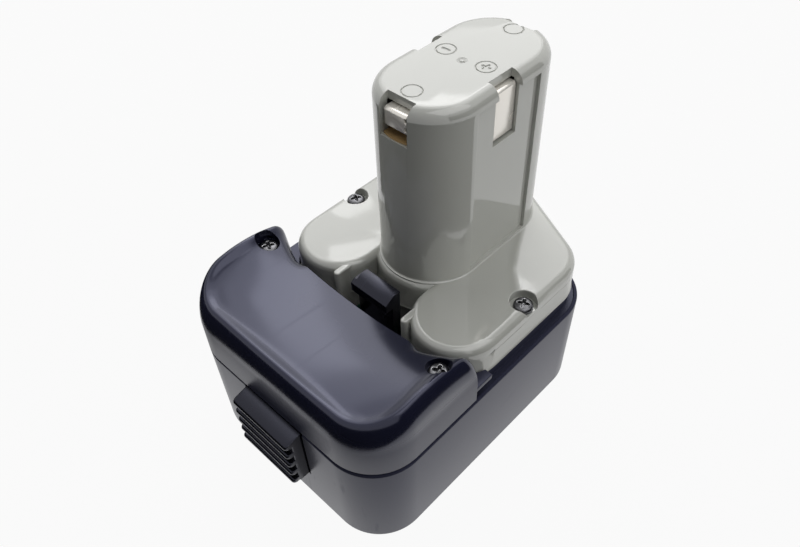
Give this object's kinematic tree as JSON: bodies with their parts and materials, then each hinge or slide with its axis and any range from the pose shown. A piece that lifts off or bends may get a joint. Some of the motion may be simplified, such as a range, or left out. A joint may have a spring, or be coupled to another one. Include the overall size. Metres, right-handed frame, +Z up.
{
  "type": "power tool battery pack",
  "caption": "Stem-type battery pack for a cordless drill: dark ribbed-latch base, light grey stem with terminal windows near its top.",
  "frame": {"origin": "on the flat underside of the lower case, below the middle of the stem", "axes": "+Z up along the stem, -Y towards the latch button, +X to the right as seen from the latch's side"},
  "size_m": [0.0786, 0.1142, 0.1068],
  "materials": {
    "case": "semi-gloss dark blue-grey ABS",
    "cover": "polished dark blue-grey ABS",
    "stem": "semi-gloss light warm grey ABS",
    "latch": "semi-gloss black acetal",
    "spring": "drawn spring wire",
    "screw": "black oxide steel",
    "cell": "nickel-plated steel can",
    "sleeve": "shrink sleeve",
    "nickel": "plain nickel strip",
    "foam": "closed-cell foam",
    "card": "fish paper",
    "spacer": "natural nylon",
    "washer": "kraft card",
    "holder": "black glass-filled nylon",
    "contact": "bright nickel-plated brass",
    "thermostat": "lacquered metal capsule",
    "thermistor": "epoxy bead",
    "wire_white": "PVC insulation",
    "wire_blue": "PVC insulation"
  },
  "bodies": {
    "body": {"lower_case": "case", "front_cover": "cover", "stem_cover": "stem", "latch_spring": "spring", "cover_screws": "screw", "stem_screws": "screw", "cell_1": "cell", "cell_2": "cell", "cell_3": "cell", "cell_4": "cell", "cell_5": "cell", "cell_6": "cell", "cell_7": "cell", "cell_8": "cell", "cell_9": "cell", "cell_10": "cell", "sleeve_1": "sleeve", "sleeve_2": "sleeve", "sleeve_3": "sleeve", "sleeve_4": "sleeve", "sleeve_5": "sleeve", "sleeve_6": "sleeve", "sleeve_7": "sleeve", "sleeve_8": "sleeve", "sleeve_9": "sleeve", "sleeve_10": "sleeve", "bottom_links": "nickel", "top_links": "nickel", "stem_links": "nickel", "bottom_pad": "foam", "top_card_left": "card", "top_card_right": "card", "top_foam_left": "foam", "top_foam_right": "foam", "front_foam_left": "foam", "front_foam_right": "foam", "stem_spacer": "spacer", "washer_front": "washer", "washer_rear": "washer", "terminal_holder": "holder", "contact_plus": "contact", "contact_minus": "contact", "contact_s": "contact", "contact_t": "contact", "thermostat": "thermostat", "thermistor": "thermistor", "lead_s": "wire_white", "lead_t": "wire_blue"},
    "latch": {"latch": "latch"}
  },
  "joints": [
    {"name": "latch_press", "type": "slide", "parent": "body", "child": "latch", "axis": [0, 1, 0], "range_m": [0, 0.0035], "stiffness_N_per_m": 1200, "springref_m": -0.004, "deforming": ["latch_spring"]}
  ]
}
